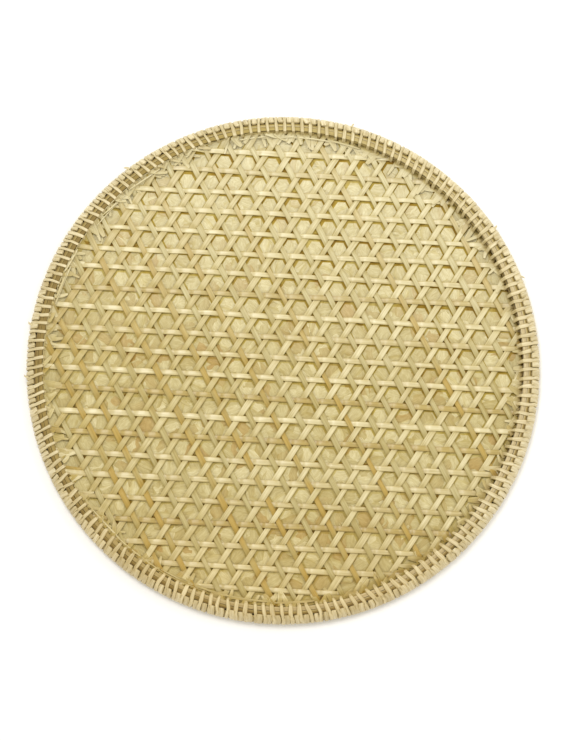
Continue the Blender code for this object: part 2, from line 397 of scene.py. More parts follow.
def fibre_material(name, colors, roughness, mottle, coarse, fine, bump, gloss=0.6, sheen_share=0.58,
                   brownest=(0.62, 1.4, 3.2), strip_shadows=False, lashing_shadows=False):
    """Split bamboo, cane or shavings. The colour comes from the strip's own tone and a slow mottle. It
    turns paler towards the mat's far side, by at most the given share, which is painted sheen, and darker and
    warmer along the near side, which is painted shade. Coarse and fine streaks down the fibre, each given as
    length, width and strength, darken it, and the fine ones are a bump too. Cut edges and undersides are
    browner, as painted shade, down to the factor that brownest gives, with its powers in green and blue. The
    two switches at the end add the painted shadows of the strips and of the lashing."""
    shader = Shader(name, roughness)
    tone = shader.add("ShaderNodeAttribute", attribute_name="tone").outputs["Fac"]
    slow = shader.fibre_noise(tone, 25 * MM, 6 * MM, 2.0)
    place = shader.math("ADD", tone, shader.spread(slow, 0.3, 0.7, -mottle, mottle), clamp=True)
    where = shader.add("ShaderNodeTexCoord").outputs["Object"]
    far = shader.reach(where, (0.12, 1.0, 0.0))
    # Painted sheen: paler towards the far side
    sheen_amount = shader.spread(far, -0.01, 0.17, 0.0, sheen_share)
    color = shader.blend("MIX", sheen_amount, shader.ramp(place, colors), PAINTED_SHEEN_COLOR)
    # Painted shade: darker and warmer along the near side
    near_shade = shader.spread(far, -0.16, -0.09, 1.0, 0.0)
    color = shader.blend("MULTIPLY", near_shade, color, NEAR_SHADE_FACTOR)
    # Painted shadows of the strips and of the lashing
    if strip_shadows:
        color = painted_strip_shadows(shader, where, color)
    if lashing_shadows:
        color = painted_lashing_shadows(shader, where, color)
    # Brown, which is mostly painted shade on cut edges, undersides and in hollows
    brown = shader.add("ShaderNodeAttribute", attribute_name="brown").outputs["Fac"]
    darkest, green, blue = brownest
    color = shader.darken(color, shader.spread(brown, 0.0, 1.0, 1.0, darkest), green, blue)
    length, width, strength = coarse
    streaks = shader.fibre_noise(tone, length, width, 2.0)
    color = shader.darken(color, shader.spread(streaks, 0.38, 0.62, 1 - strength, 1 + strength * 0.3))
    length, width, strength = fine
    threads = shader.fibre_noise(tone, length, width, 3.0)
    color = shader.darken(color, shader.spread(threads, 0.35, 0.65, 1 - strength, 1 + strength * 0.3))
    shader.feed(shader.surface, "Base Color", color)
    shader.bump(threads, bump)
    shader.fibre_gloss(gloss)
    return shader.material


def make_materials():
    """The mat's finishes, keyed by plain words. The weave has one for each of its three families."""
    woven = {
        "coarse": (40 * MM, 1.3 * MM, 0.10),
        "fine": (18 * MM, 0.35 * MM, 0.14),
        "lashing_shadows": True,
    }
    strip = fibre_material(
        "split_bamboo_strip",
        ((0.70, 0.62, 0.365), (0.53, 0.44, 0.19), (0.48, 0.375, 0.125), (0.45, 0.315, 0.075)),
        roughness=0.48,
        mottle=0.10,
        bump=0.05 * MM,
        **woven,
    )
    across = fibre_material(
        "glossier_bamboo_strip",
        ((0.70, 0.62, 0.365), (0.55, 0.45, 0.20), (0.48, 0.375, 0.125), (0.45, 0.315, 0.075)),
        roughness=0.36,
        mottle=0.10,
        bump=0.03 * MM,
        gloss=0.8,
        **woven,
    )
    # A darker, greyer copy of the strip finish: partly the strips' own colour, partly painted shade
    falling = fibre_material(
        "duller_bamboo_strip",
        ((0.57, 0.50, 0.285), (0.50, 0.43, 0.21), (0.46, 0.38, 0.16), (0.48, 0.34, 0.095)),
        roughness=0.55,
        mottle=0.22,
        bump=0.05 * MM,
        gloss=0.25,
        **woven,
    )
    shaving = fibre_material(
        "bamboo_shaving",
        ((0.66, 0.58, 0.32), (0.55, 0.47, 0.225), (0.50, 0.41, 0.175), (0.47, 0.325, 0.11)),
        roughness=0.65,
        mottle=0.08,
        coarse=(4 * MM, 1.6 * MM, 0.08),
        fine=(4 * MM, 0.45 * MM, 0.12),
        bump=0.09 * MM,
        gloss=0.4,
        sheen_share=0.66,
        strip_shadows=True,
        lashing_shadows=True,
    )
    hoop = fibre_material(
        "brown_bamboo_hoop",
        ((0.63, 0.52, 0.30), (0.54, 0.44, 0.235), (0.30, 0.22, 0.10)),
        roughness=0.6,
        mottle=0.25,
        coarse=(60 * MM, 1.2 * MM, 0.15),
        fine=(25 * MM, 0.3 * MM, 0.15),
        bump=0.05 * MM,
        sheen_share=0.3,
        brownest=(0.38, 1.25, 2.8),
    )
    outer = fibre_material(
        "pale_bamboo_hoop",
        ((0.62, 0.52, 0.26), (0.56, 0.45, 0.20), (0.42, 0.30, 0.11)),
        roughness=0.55,
        mottle=0.2,
        coarse=(60 * MM, 1.2 * MM, 0.2),
        fine=(25 * MM, 0.3 * MM, 0.2),
        bump=0.08 * MM,
        sheen_share=0.1,
    )
    cane = fibre_material(
        "pale_cane",
        ((0.80, 0.71, 0.48), (0.63, 0.54, 0.32), (0.50, 0.395, 0.185)),
        roughness=0.48,
        mottle=0.2,
        coarse=(20 * MM, 0.9 * MM, 0.12),
        fine=(10 * MM, 0.3 * MM, 0.18),
        bump=0.05 * MM,
        sheen_share=0.12,
    )
    weave = (across, strip, falling)
    return {"weave": weave, "strip": strip, "shaving": shaving, "hoop": hoop, "outer": outer, "cane": cane}


# Weave


def edge_rise(x, y):
    """How far the weave's and the shavings' edge is turned up: the full height times s squared, where s
    runs from 0 at the start to 1 at the end of the turned-up run, and stays 1 further out. Along the right
    the edge hardly rises."""
    angle = np.arctan2(y, x)
    share = 0.5 - 0.5 * np.tanh(2.5 * (np.cos(angle - FLAT_SIDE) - 0.55))
    s = ((np.hypot(x, y) - TURN_UP_START) / TURN_UP_RUN).clip(0, 1)
    return TURN_UP_HEIGHT * share * s ** 2


def strip_lines(family):
    """Offsets, slants and unit directions of the strips of one family. The gaps' middles lie a whole number
    of pitches from the shift and the strips halfway between, and each strip strays a little from its
    line."""
    turn = WEAVE_TURN + family * math.pi / 3
    along = np.array([math.cos(turn), math.sin(turn)])
    across = np.array([-math.sin(turn), math.cos(turn)])
    offset = float(WEAVE_SHIFT @ across) + (np.arange(-13, 13) + 0.5) * STRIP_PITCH
    offset = offset[np.abs(offset) < STRIP_REACH - 3 * MM]
    offset = offset + RANDOM.normal(0, 0.25 * MM, len(offset))
    slant = RANDOM.normal(0, 0.004, len(offset))
    return offset, slant, along, across


def crossing_places(lines, others):
    """Distance down each strip at which it meets each strip of another family. With the strip's points at
    offset across + distance direction, it solves point . normal = the other strip's offset along its
    normal."""
    offset, slant, along, across = lines
    other_offset, other_slant, other_along, other_across = others
    direction = along + slant[:, None] * across
    normal = other_across - other_slant[:, None] * other_along
    right = other_offset * (normal @ other_across)
    left = offset[:, None] * (across @ normal.T)
    return (right - left) / (direction @ normal.T)


def weave_wave(place, over, under):
    """Height of a strip from -1 to 1 at places down it: 1 where it passes over, -1 where it passes under,
    on a cosine of the crossing's number that is flattened by a hyperbolic tangent. The number is even where
    the strip passes over and odd where it passes under, and grows by 1 at each change between them."""
    crossings = np.concatenate([over, under])
    order = np.argsort(crossings)
    passes_under = (order >= len(over)).astype(int)
    numbers = passes_under[0] + np.append(0, np.cumsum(np.abs(np.diff(passes_under))))
    number = np.interp(place, crossings[order], numbers)
    return np.tanh(1.7 * np.cos(np.pi * number)) / math.tanh(1.7)


def make_strips(name, family, lines, tones, widths, material):
    """One family of woven strips, from rim to rim. Each of a strip's two edges rises and falls over and
    under the other two families by itself, and the strip twists between them. It wanders a little in place,
    height, width and twist, follows the turned-up edge, and is browner where it goes under, which is painted
    shade. Where two strips cross, their corners can touch or cut into each other by up to about 0.3 mm."""
    offset, slant, along, across = lines[family]
    count = len(offset)
    half = np.sqrt(STRIP_REACH ** 2 - offset ** 2)[:, None]
    place = half * np.linspace(-1, 1, STRIP_STEPS)
    edges = []
    for edge_offset in (offset - widths / 2, offset + widths / 2):
        edge = (edge_offset, slant, along, across)
        over = crossing_places(edge, lines[(family + 1) % 3])
        under = crossing_places(edge, lines[(family + 2) % 3])
        edges.append(np.stack([weave_wave(place[i], over[i], under[i]) for i in range(count)]))
    wave = (edges[0] + edges[1]) / 2
    length = 2 * STRIP_REACH
    down = place + half
    sideways = offset[:, None] + place * slant[:, None] + wander(count, length, 45 * MM, 0.18 * MM)(down)
    height = WEAVE_LEVEL + wave * STRIP_RISE + wander(count, length, 25 * MM, 0.04 * MM)(down)
    level = place[..., None] * along + sideways[..., None] * across
    height = height + edge_rise(level[..., 0], level[..., 1])
    path = np.concatenate([level, height[..., None]], axis=-1)
    side = np.broadcast_to(across, level.shape)
    width = widths[:, None] * (1 + wander(count, length, 30 * MM, 0.05)(down))
    twist = (edges[1] - edges[0]) * STRIP_RISE / widths[:, None]
    roll = twist + wander(count, length, 18 * MM, 0.03)(down)
    profile = STRIP_PROFILE if family else ROUND_PROFILE
    # Painted shade where the strip dips under another
    brown = 0.25 * (0.5 - 0.5 * wave) ** 2
    return ribbons(name, path, side, width, STRIP_THICKNESS[family], profile, tones, material, roll, brown)


def make_weave(materials):
    """The three families of strips, each with its own finish. Strips across are narrow, pale straw with a
    few honey ones, and glossier. Rising strips are honey at the far left and palest towards the near right,
    and falling strips are tan and duller, with a few of amber; their duller finish is partly their own colour
    and partly painted shade."""
    lines = [strip_lines(family) for family in range(3)]
    pieces = []
    for family, name in enumerate(("strips_across", "strips_rising", "strips_falling")):
        count = len(lines[family][0])
        widths = STRIP_WIDTHS[family] * RANDOM.normal(1.0, 0.08, count).clip(0.8, 1.2)
        if family == 0:
            tones = np.where(RANDOM.random(count) < 0.2, 0.75, RANDOM.uniform(0.0, 0.3, count))
        elif family == 1:
            tones = RANDOM.uniform(0.0, 0.18, count) + 0.65 * np.linspace(0.0, 1.0, count) ** 3
        else:
            tones = np.where(RANDOM.random(count) < 0.25, 0.9, RANDOM.uniform(0.25, 0.55, count))
        pieces.append(make_strips(name, family, lines, tones, widths, materials["weave"][family]))
    return pieces


# Shavings


def spread_places(spacing, stray, reach):
    """Places on a triangular grid, with a random stray, inside a radius."""
    rows = int(reach / spacing * 1.2) + 2
    i, j = np.meshgrid(np.arange(-rows, rows + 1), np.arange(-rows, rows + 1))
    places = np.stack([(i + 0.5 * j) * spacing, j * spacing * math.sqrt(3) / 2], axis=-1).reshape(-1, 2)
    places = places + RANDOM.uniform(-stray, stray, places.shape)
    return places[np.hypot(*places.T) < reach]


def make_slips(name, places, heights, lengths, widths, crown, tones, material, steps=7):
    """Thin slips of shaving that lie every way. With u from -1 to 1 down a slip, its middle bows sideways
    by u squared, its width is 1 - 0.5 |u|^3 of the full one with a ragged edge, and it tilts and waves a
    little in height."""
    count = len(places)
    u = np.linspace(-1, 1, steps)
    length = RANDOM.uniform(*lengths, count)[:, None]
    turn = RANDOM.uniform(0, math.pi, count)[:, None]
    bow = RANDOM.normal(0, 1.0 * MM, count)[:, None] * u ** 2 + RANDOM.normal(0, 0.12 * MM, (count, steps))
    x = places[:, :1] + length / 2 * u * np.cos(turn) - bow * np.sin(turn)
    y = places[:, 1:] + length / 2 * u * np.sin(turn) + bow * np.cos(turn)
    tilt = RANDOM.normal(0, 0.1 * MM, count)[:, None]
    z = RANDOM.uniform(*heights, count)[:, None] + tilt * u + RANDOM.normal(0, 0.03 * MM, (count, steps))
    path = np.stack([x, y, z], axis=-1)
    side = np.broadcast_to(np.stack([-np.sin(turn), np.cos(turn)], axis=-1), (count, steps, 2))
    full = RANDOM.uniform(*widths, count)[:, None]
    width = full * (1 - 0.5 * np.abs(u) ** 3) * RANDOM.normal(1, 0.06, (count, steps))
    roll = RANDOM.normal(0, 0.02, (count, 1)) * np.ones(steps)
    return ribbons(name, path, side, width, crown, SHAVING_PROFILE, tones(count), material, roll)


def make_backing(material):
    """The layer that the slips lie on: a thin disc of rings and spokes, a little wavy in height, closed at
    its middle and at its edge."""
    rings, spokes = 40, 180
    radius = STRIP_REACH * np.linspace(0.002, 1, rings)
    angle = np.linspace(0, 2 * math.pi, spokes, endpoint=False)
    r, a = np.meshgrid(radius, angle)
    wave = np.sin(r / (7 * MM) + 3 * np.cos(a * 2)) + np.cos(a * 9 + r / (11 * MM))
    level = SHAVINGS_BOTTOM + 0.3 * MM + 0.05 * MM * wave * (1 - (r / STRIP_REACH) ** 4)
    disc = np.stack([r * np.cos(a), r * np.sin(a), level], axis=-1)
    half_thickness = np.array([0, 0, 0.1 * MM])
    points = np.concatenate([disc + half_thickness, disc[:, ::-1] - half_thickness], axis=1)[None]
    around = distance_along(points[0, 0], closed=True)
    along = np.linspace(0, 0.6, spokes + 1)[None]
    # The backing's dark tone is painted shade in the gaps between the slips
    return tubes("shavings_backing", points, along, around, np.array([0.7]), material, closed=True)


def make_turned_up_edge(material):
    """The shavings' edge, which is turned up with the weave's: a band over the turned-up run, whose height
    is uneven, by sums of sines that grow towards the crest. Distances across the band, for its UVs, are
    taken at one of its rows, where it is turned up almost in full."""
    turns, rows = 540, 8
    full_row = 180
    angle = np.linspace(0, 2 * math.pi, turns, endpoint=False)[:, None]
    s = np.linspace(0, 1, rows)
    waves = np.array([17, 29, 46, 83])
    phase = RANDOM.uniform(0, 2 * math.pi, len(waves))
    uneven = 0.12 * MM * np.sin(waves * angle + phase).sum(axis=1, keepdims=True)
    radius = TURN_UP_START + TURN_UP_RUN * s + 0 * angle
    x = radius * np.cos(angle)
    y = radius * np.sin(angle)
    height = SHAVINGS_BOTTOM + 0.6 * MM + edge_rise(x, y) + (0.6 * MM + uneven) * s
    upper = np.stack([x, y, height], axis=-1)
    lower = upper - (0, 0, 0.35 * MM)
    points = np.concatenate([upper, lower[:, ::-1]], axis=1)[None]
    along = np.linspace(0, 1.1, turns + 1)[None]
    around = distance_along(np.column_stack([radius[full_row], height[full_row]]))
    around = np.concatenate([around, around[::-1], around[:1]])
    return tubes("shavings_edge", points, along, around, np.array([0.35]), material, closed=True)


def make_shavings(materials):
    """The backing, the turned-up edge, the slips above and below the backing, and narrow slivers on top of
    them, seen through the weave's gaps. The slips run through each other and into the backing."""
    finish = materials["shaving"]
    low = SHAVINGS_BOTTOM
    backing = make_backing(finish)
    edge = make_turned_up_edge(finish)
    upper = make_slips(
        "shavings_upper",
        spread_places(12 * MM, 4 * MM, MAT_RADIUS - 24 * MM),
        heights=(low + 0.55 * MM, low + 0.8 * MM),
        lengths=(20 * MM, 34 * MM),
        widths=(11 * MM, 17 * MM),
        crown=0.3 * MM,
        tones=lambda count: RANDOM.beta(0.9, 1.35, count),
        material=finish,
    )
    slivers = make_slips(
        "shavings_slivers",
        spread_places(28 * MM, 10 * MM, MAT_RADIUS - 20 * MM),
        heights=(low + 0.8 * MM, low + 1.0 * MM),
        lengths=(7 * MM, 16 * MM),
        widths=(1.2 * MM, 4.0 * MM),
        crown=0.2 * MM,
        tones=lambda count: RANDOM.beta(2.0, 3.5, count),
        material=finish,
        steps=5,
    )
    lower = make_slips(
        "shavings_lower",
        spread_places(15 * MM, 5 * MM, MAT_RADIUS - 24 * MM),
        heights=(low, low + 0.1 * MM),
        lengths=(20 * MM, 32 * MM),
        widths=(10 * MM, 14 * MM),
        crown=0.25 * MM,
        tones=lambda count: RANDOM.beta(2.4, 3.0, count),
        material=finish,
    )
    return backing, edge, upper, slivers, lower


# Rim


def moved_in(corners, distance):
    """A closed outline of (radius, height) corners moved inwards: corner + distance
    (n1 + n2) / (1 + n1 . n2), where n1 and n2 are the inward normals of the sides that meet there."""
    sides = np.roll(corners, -1, axis=0) - corners
    sides = sides / np.linalg.norm(sides, axis=1, keepdims=True)
    normal = np.stack([sides[:, 1], -sides[:, 0]], axis=-1)
    before = np.roll(normal, 1, axis=0)
    return corners + distance * (normal + before) / (1 + (normal * before).sum(axis=1, keepdims=True))


def rounded(corners, cut, steps, closed=True):
    """Corners replaced by parabolic arcs: (1-t)^2 start + 2t(1-t) corner + t^2 end, where start and end lie
    the cut distance from the corner on its two sides. An open path loses its two end corners."""
    before = np.roll(corners, 1, axis=-2) - corners
    after = np.roll(corners, -1, axis=-2) - corners
    cut = np.asarray(cut, float)[..., None]
    start = (corners + before / np.linalg.norm(before[..., :2], axis=-1, keepdims=True) * cut)[..., None, :]
    end = (corners + after / np.linalg.norm(after[..., :2], axis=-1, keepdims=True) * cut)[..., None, :]
    t = np.linspace(0, 1, steps)[:, None]
    arcs = (1 - t) ** 2 * start + 2 * t * (1 - t) * corners[..., None, :] + t ** 2 * end
    if not closed:
        arcs = arcs[..., 1:-1, :, :]
    return arcs.reshape(*corners.shape[:-2], -1, corners.shape[-1])


def cane_corners():
    """Corners of a wrap's middle line, as radius and height: the lashing's outer side moved in by half the
    cane's thickness."""
    outer_side = np.column_stack([MAT_RADIUS - LASHING_PATH[:, 0], LASHING_PATH[:, 1]])
    return moved_in(outer_side, CANE_THICKNESS / 2)


def wound_cane(name, path, width, thickness, tones, material, closed):
    """Canes wound round the rim, on paths of (radius, height, turn) with the turn in pitches. The path's
    tangent T comes from its neighbours, the outward normal N from the radius and height alone, and the side
    is T x N. The cane is lightly browned on the rim's inner side, a painted shade, by a squared cosine of the
    angle that is greatest at the right. It runs through whatever it meets, because no gap is made for it."""
    angle = path[..., 2] * WRAP_ANGLE
    cosine = np.cos(angle)
    sine = np.sin(angle)
    # Painted shade on the cane's inner side, greatest at the right
    inner = ((INNER_SHADE_START - path[..., 0]) / (2.5 * MM)).clip(0, 1)
    inner_shade = 0.15 * inner * (0.5 + 0.5 * np.cos(angle - FLAT_SIDE)) ** 2
    browns = np.maximum(CANE_PROFILE[:, 2], inner_shade[..., None])
    place = np.stack([path[..., 0] * cosine, path[..., 0] * sine, path[..., 1]], axis=-1)
    if closed:
        tangent = np.roll(place, -1, axis=1) - np.roll(place, 1, axis=1)
        plane = np.roll(path, -1, axis=1) - np.roll(path, 1, axis=1)
    else:
        tangent = np.gradient(place, axis=1)
        plane = np.gradient(path, axis=1)
    normal = np.stack([-plane[..., 1] * cosine, -plane[..., 1] * sine, plane[..., 0]], axis=-1)
    side = np.cross(tangent, normal)
    side /= np.linalg.norm(side, axis=-1, keepdims=True)
    normal = np.cross(side, tangent)
    normal /= np.linalg.norm(normal, axis=-1, keepdims=True)
    across = CANE_PROFILE[:, 0] * width[..., None]
    up = CANE_PROFILE[:, 1] * thickness
    points = place[:, :, None] + across[..., None] * side[:, :, None] + up[:, None] * normal[:, :, None]
    around = distance_along(CANE_PROFILE[:, :2] * (CANE_WIDTH, thickness), closed=True)
    along = distance_along(place, closed)
    return tubes(name, points, along, around, tones, material, closed, browns)


def cane_tone(turn, stray):
    """The cane's tone, which is palest at the near right and yellowest at the left, drawn straight between
    places every 45 degrees round the rim, and a random stray."""
    places = (0, 45, 90, 135, 180, 225, 270, 315)
    tones = (0.27, 0.26, 0.34, 0.38, 0.44, 0.36, 0.25, 0.22)
    tone = np.interp(np.degrees(np.asarray(turn) * WRAP_ANGLE) % 360, places, tones, period=360)
    return (tone + RANDOM.normal(0, stray, tone.shape)).clip(0, 1)


def top_tilt(turn):
    """How far the cane moves round the rim on its way out over the top, in pitches. It is drawn straight
    between a few places round the rim, given in degrees, and strays at random."""
    places = (0, 37, 60, 78, 98, 112, 150, 168, 188, 203, 235, 262, 290, 330)
    tilts = (0.2, 0.25, 0.38, 0.3, 0.0, 0.45, 0.25, 0.05, 0.42, 0.4, 0.05, 0.25, 0.42, 0.28)
    tilt = np.interp(np.degrees(turn * WRAP_ANGLE) % 360, places, tilts, period=360)
    return tilt + RANDOM.normal(0, 0.04, len(turn))


def make_long_wraps(number, material):
    """One length of cane round all three hoops: a wrap's corners repeated, each moved on by one pitch,
    strayed a little at random and rounded, with a slight dip in its top. Each wrap narrows towards its
    inner foot, most of all along the near side, where the cane is wound less evenly. At the near right the
    wraps are widest, and their inner feet lean inwards, by a cosine of the angle."""
    wraps = WRAP_COUNT // LASHING_LENGTHS
    corners = cane_corners()
    dip = corners[1] * 0.33 + corners[2] * 0.67 - (0, 0.25 * MM)
    corners = np.insert(corners, 2, dip, axis=0)
    first = number * wraps + FIRST_FOOT
    turn = first + np.arange(wraps)
    path = np.zeros((wraps, len(corners), 3))
    path[:, :, :2] = corners
    path[:, :, 2] = turn[:, None]
    path[:, 0, 0] -= 2.8 * MM * (0.5 + 0.5 * np.cos(turn * WRAP_ANGLE + math.radians(35)))
    tilt = top_tilt(turn)[:, None]
    path[:, 2, 2] += tilt[:, 0] * 0.6
    path[:, 3:, 2] += tilt
    path = path.reshape(-1, 3)
    last = (*(corners[-1] * 0.3 + corners[0] * 0.7), turn[-1] + 0.75)
    path = np.concatenate([path, [last]])
    near = 0.5 - 0.5 * np.sin(path[1:-1, 2] * WRAP_ANGLE)
    path[1:-1, 2] += RANDOM.normal(0, 1, len(path) - 2) * (0.045 + 0.045 * near)
    path[1:-1, :2] += RANDOM.normal(0, 0.08 * MM, (len(path) - 2, 2))
    cut = np.append(np.tile([1.0, 2.6, 1.5, 1.4, 2.2, 1.0], wraps), 0.0) * MM
    path = np.concatenate([path[:1], rounded(path, cut, 3, closed=False), path[-1:]])[None]
    step = np.arange(path.shape[1], dtype=float)[None]
    inner_half = [0.7, 0.7, 0.7, 0.8, 0.9, 1.0, 1.05, 1.05, 1.05]
    outer_half = [1.05, 1.05, 1.05, 1.0, 1.0, 1.0, 0.95, 0.9, 0.85]
    leaf = np.resize(inner_half + outer_half, path.shape[1] + 2)[2:]
    angle = path[..., 2] * WRAP_ANGLE
    near = 0.5 - 0.5 * np.sin(angle)
    width = CANE_WIDTH * (1.05 + 0.13 * np.cos(angle + math.radians(50))) * (1 + (0.2 + near) * (leaf - 1))
    width = width * (1 + wander(1, path.shape[1], 6, 0.12)(step))
    name = f"lashing_length_{number + 1}"
    tone = cane_tone(turn.mean(keepdims=True), 0.05)
    return wound_cane(name, path, width, CANE_THICKNESS, tone, material, closed=False)


def make_short_wraps(material):
    """The second cane: closed wraps round the outer hoop alone, one between each two long ones, which it
    runs into at its sides. They pass down between the outer and middle hoops, and are wider towards the
    right, by a cosine of the angle."""
    corners = cane_corners()
    back = MAT_RADIUS - 6.9 * MM
    inner_top = np.interp(back, corners[2:0:-1, 0], corners[2:0:-1, 1])
    one = np.array([
        (back, corners[0, 1], 0.12),
        (back, inner_top, -0.08),
        (*corners[2], 0.0),
        (*corners[3], 0.0),
        (*corners[4], 0.0),
    ])
    turn = np.arange(WRAP_COUNT) + FIRST_FOOT
    path = np.tile(one, (WRAP_COUNT, 1, 1))
    path[:, :, 2] += (turn + top_tilt(turn) + 0.5)[:, None]
    path[:, 1:, 2] += RANDOM.normal(0, 0.05, (WRAP_COUNT, 4))
    path[:, :, :2] += RANDOM.normal(0, 0.08 * MM, (WRAP_COUNT, 5, 2))
    path = rounded(path, np.array([0.5, 0.9, 1.0, 2.2, 1.0]) * MM, 3)
    share = RANDOM.normal(1.5, 0.12, WRAP_COUNT) + 0.14 * np.cos(turn * WRAP_ANGLE)
    width = CANE_WIDTH * (share[:, None] + RANDOM.normal(0, 0.05, (1, path.shape[1])))
    tones = cane_tone(turn, 0.14)
    return wound_cane("short_wraps", path, width, CANE_THICKNESS * 0.8, tones, material, closed=True)


def make_hoop(name, corners, cut, tone, material, brown=0.0, towards=200, gap=0.0):
    """A hoop: a rounded section of (inset, height) corners in millimetres, carried round the mat. Its
    radius and the height of its top wander a little, as sums of sines with whole numbers of waves. It is
    browner by brown at the angle towards, in degrees, by a squared cosine, and fully brown where it lies
    nearer to the mat's edge than the distance gap, which is painted shade in the slit by the outer hoop."""
    outline = np.array(corners) * MM
    turned = np.column_stack([MAT_RADIUS - outline[:, 0], outline[:, 1]])
    section = rounded(turned, np.full(len(outline), cut), 4)
    angle = np.linspace(0, 2 * math.pi, HOOP_STEPS, endpoint=False)[:, None]
    waves = np.array([5, 9, 14, 23])
    phase = RANDOM.uniform(0, 2 * math.pi, (2, len(waves)))
    radius = section[:, 0] + 0.025 * MM * np.sin(waves * angle + phase[0]).sum(axis=1, keepdims=True)
    lift = 0.05 * MM * np.sin(waves * angle + phase[1]).sum(axis=1, keepdims=True)
    height = section[:, 1] + lift * (section[:, 1] > 6 * MM)
    points = np.stack([radius * np.cos(angle), radius * np.sin(angle), height], axis=-1)[None]
    along = np.linspace(0, 2 * math.pi * MAT_RADIUS, HOOP_STEPS + 1)[None]
    around = distance_along(section, closed=True)
    browns = brown * (0.5 + 0.5 * np.cos(angle - math.radians(towards))) ** 2
    # Painted shade in the slit by the outer hoop
    browns = np.maximum(browns, section[:, 0] > MAT_RADIUS - gap)[None]
    return tubes(name, points, along, around, np.array([tone]), material, closed=True, browns=browns)


def make_hoops(materials):
    """The split outer hoop and the two flat brown ones."""
    outer = [(4.2, 8.5), (1.5, 4.1), (2.6, 1.4), (6.2, 1.4), (6.2, 8.9)]
    middle = [(7.3, 9.3), (7.3, 1.4), (9.9, 1.4), (9.9, 10.0)]
    inner = [(10.1, 10.05), (10.1, 4.6), (13.1, 4.6), (13.1, 10.85)]
    return (
        make_hoop("outer_hoop", outer, 0.7 * MM, 0.35, materials["outer"]),
        make_hoop("middle_hoop", middle, 0.3 * MM, 0.4, materials["hoop"], 0.8, 200, 7.8 * MM),
        make_hoop("inner_hoop", inner, 0.3 * MM, 0.2, materials["hoop"], 1.0, 150),
    )


def make_strip_ends(material):
    """Split ends of the weave's strips, which splay out at the lashing. Each starts there and runs inwards
    near one of the weave's directions, with a bow that grows as the square of the distance, and narrows. It
    follows the turned-up edge, lifts off it a little towards the rim, and runs through the strips that it
    meets."""
    count, steps = 210, 9
    s = np.linspace(0, 1, steps)
    start = RANDOM.uniform(0, 2 * math.pi, count)
    family = WEAVE_TURN + RANDOM.integers(0, 3, count) * math.pi / 3
    turn = family + RANDOM.normal(0, math.radians(6), count)
    inward = np.cos(turn - start)
    turn = np.where(inward > 0, turn + math.pi, turn)
    slack = np.abs(inward) < 0.35
    turn = np.where(slack, start + math.pi + RANDOM.normal(0, 0.5, count), turn)[:, None]
    length = RANDOM.uniform(6 * MM, 13 * MM, count)[:, None]
    bow = RANDOM.normal(0, 0.6 * MM, count)[:, None] * s ** 2
    reach = MAT_RADIUS - 13.6 * MM
    x = reach * np.cos(start)[:, None] + length * s * np.cos(turn) - bow * np.sin(turn)
    y = reach * np.sin(start)[:, None] + length * s * np.sin(turn) + bow * np.cos(turn)
    level = RANDOM.uniform(3.2 * MM, 4.3 * MM, count)[:, None]
    lift = RANDOM.uniform(0.0, 0.7 * MM, count)[:, None] * (1 - s) ** 3
    path = np.stack([x, y, level + lift + edge_rise(x, y)], axis=-1)
    side = np.broadcast_to(np.stack([-np.sin(turn), np.cos(turn)], axis=-1), (count, steps, 2))
    width = RANDOM.uniform(2.2 * MM, 5.0 * MM, count)[:, None] * (1 - 0.5 * s ** 3)
    roll = RANDOM.normal(0, 0.06, (count, 1)) * np.ones(steps)
    tones = RANDOM.beta(1.4, 2.6, count)
    return ribbons("strip_ends", path, side, width, 0.4 * MM, STRIP_PROFILE, tones, material, roll)


def make_edge_slivers(material):
    """Thin slivers that run along inside the rim: arcs whose radius changes slowly from end to end, and
    which follow the turned-up edge and climb a little more towards the rim. They start in three stretches
    round the mat, each given as its first and last angle in degrees and its number of slivers."""
    count, steps = 22, 14
    s = np.linspace(0, 1, steps)
    stretches = ((68, 94, 5), (230, 270, 8), (100, 230, 9))
    places = np.concatenate([RANDOM.uniform(*stretch) for stretch in stretches])
    start = np.radians(places)[:, None]
    length = RANDOM.uniform(16 * MM, 44 * MM, count)[:, None]
    outer = RANDOM.uniform(MAT_RADIUS - 17 * MM, MAT_RADIUS - 14.8 * MM, (count, 1))
    inner = outer - RANDOM.uniform(-0.8 * MM, 0.8 * MM, (count, 1))
    radius = outer * (1 - s) + inner * s - RANDOM.uniform(0, 0.6 * MM, (count, 1)) * np.sin(np.pi * s)
    angle = start + length * s / radius
    x = radius * np.cos(angle)
    y = radius * np.sin(angle)
    climb = (radius - (MAT_RADIUS - 18 * MM)).clip(0) * 0.3
    height = RANDOM.uniform(3.9 * MM, 4.4 * MM, count)[:, None] + climb + edge_rise(x, y)
    path = np.stack([x, y, height], axis=-1)
    side = np.stack([np.cos(angle), np.sin(angle)], axis=-1)
    width = RANDOM.uniform(0.8 * MM, 1.8 * MM, count)[:, None] * (1 - 0.6 * np.abs(2 * s - 1) ** 4)
    tones = RANDOM.uniform(0.0, 0.35, count)
    return ribbons("edge_slivers", path, side, width, 0.35 * MM, STRIP_PROFILE, tones, material)


